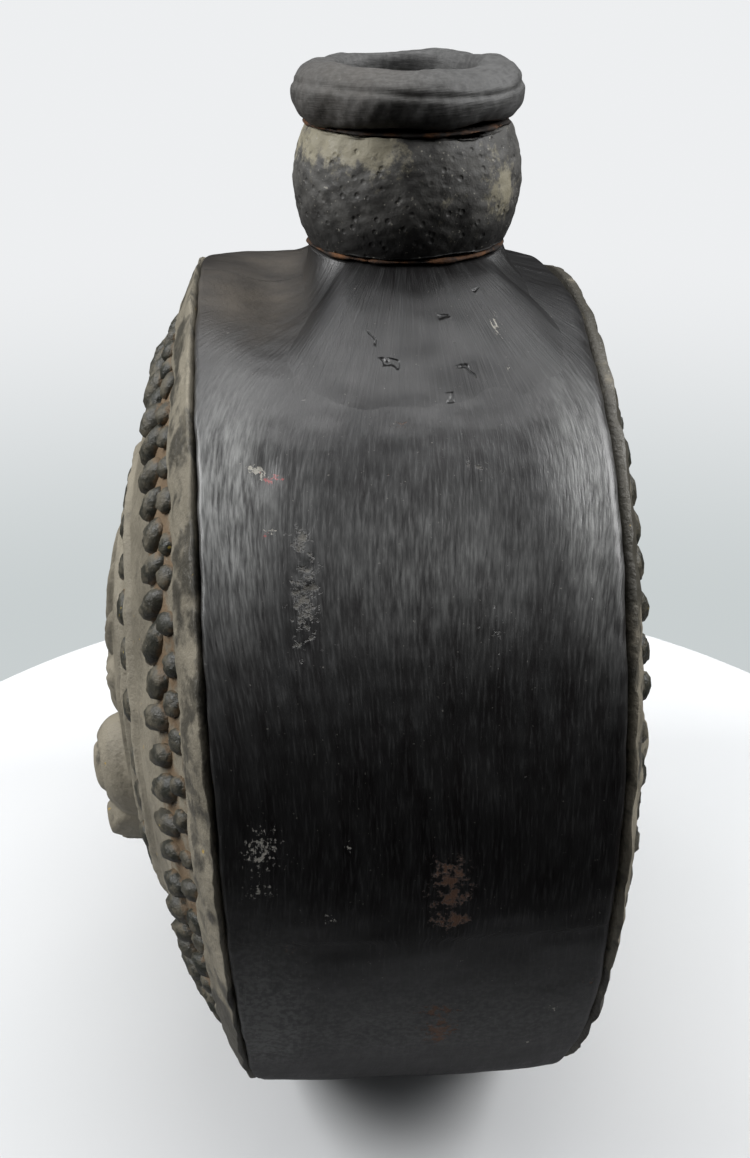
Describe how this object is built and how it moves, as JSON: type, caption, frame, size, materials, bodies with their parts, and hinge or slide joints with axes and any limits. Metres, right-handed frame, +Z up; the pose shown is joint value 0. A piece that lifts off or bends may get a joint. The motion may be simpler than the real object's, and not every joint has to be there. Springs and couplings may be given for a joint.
{
  "type": "pilgrim flask",
  "caption": "Black burnished clay pilgrim flask: upright drum with domed relief faces, short neck, bulb and rolled mouth, standing on a rubbed flat.",
  "frame": {"origin": "on the table, in the middle of the rubbed flat under the drum's axis", "axes": "+Z up through the neck, +X along the drum's axis towards the flatter face, Y across the faces"},
  "size_m": [0.1299, 0.2, 0.2378],
  "materials": {
    "burnished_clay": "burnished satin",
    "sandy_clay": "matte sandy",
    "khaki_clay": "matte, dusty",
    "pellet_clay": "burnished, worn",
    "slip": "matte"
  },
  "bodies": {
    "root": {"band_wall": "burnished_clay", "left_disc": "khaki_clay", "right_disc": "khaki_clay", "left_border": "khaki_clay", "right_border": "khaki_clay", "left_small_pellets": "pellet_clay", "right_small_pellets": "pellet_clay", "left_large_pellets": "pellet_clay", "right_large_pellets": "pellet_clay", "left_ring_cords": "khaki_clay", "right_ring_cords": "khaki_clay", "left_ring_berries": "pellet_clay", "right_ring_berries": "pellet_clay", "left_field": "khaki_clay", "right_field": "khaki_clay", "left_fan": "khaki_clay", "right_fan": "khaki_clay", "left_heart": "khaki_clay", "right_heart": "khaki_clay", "left_lobes": "khaki_clay", "right_lobes": "khaki_clay", "left_inner_coil": "slip", "right_inner_coil": "slip", "shoulder_blend": "burnished_clay", "neck_tube": "burnished_clay", "neck_slip": "slip", "neck_bulb": "sandy_clay", "lip_slip": "slip", "mouth_lip": "burnished_clay"}
  },
  "joints": []
}
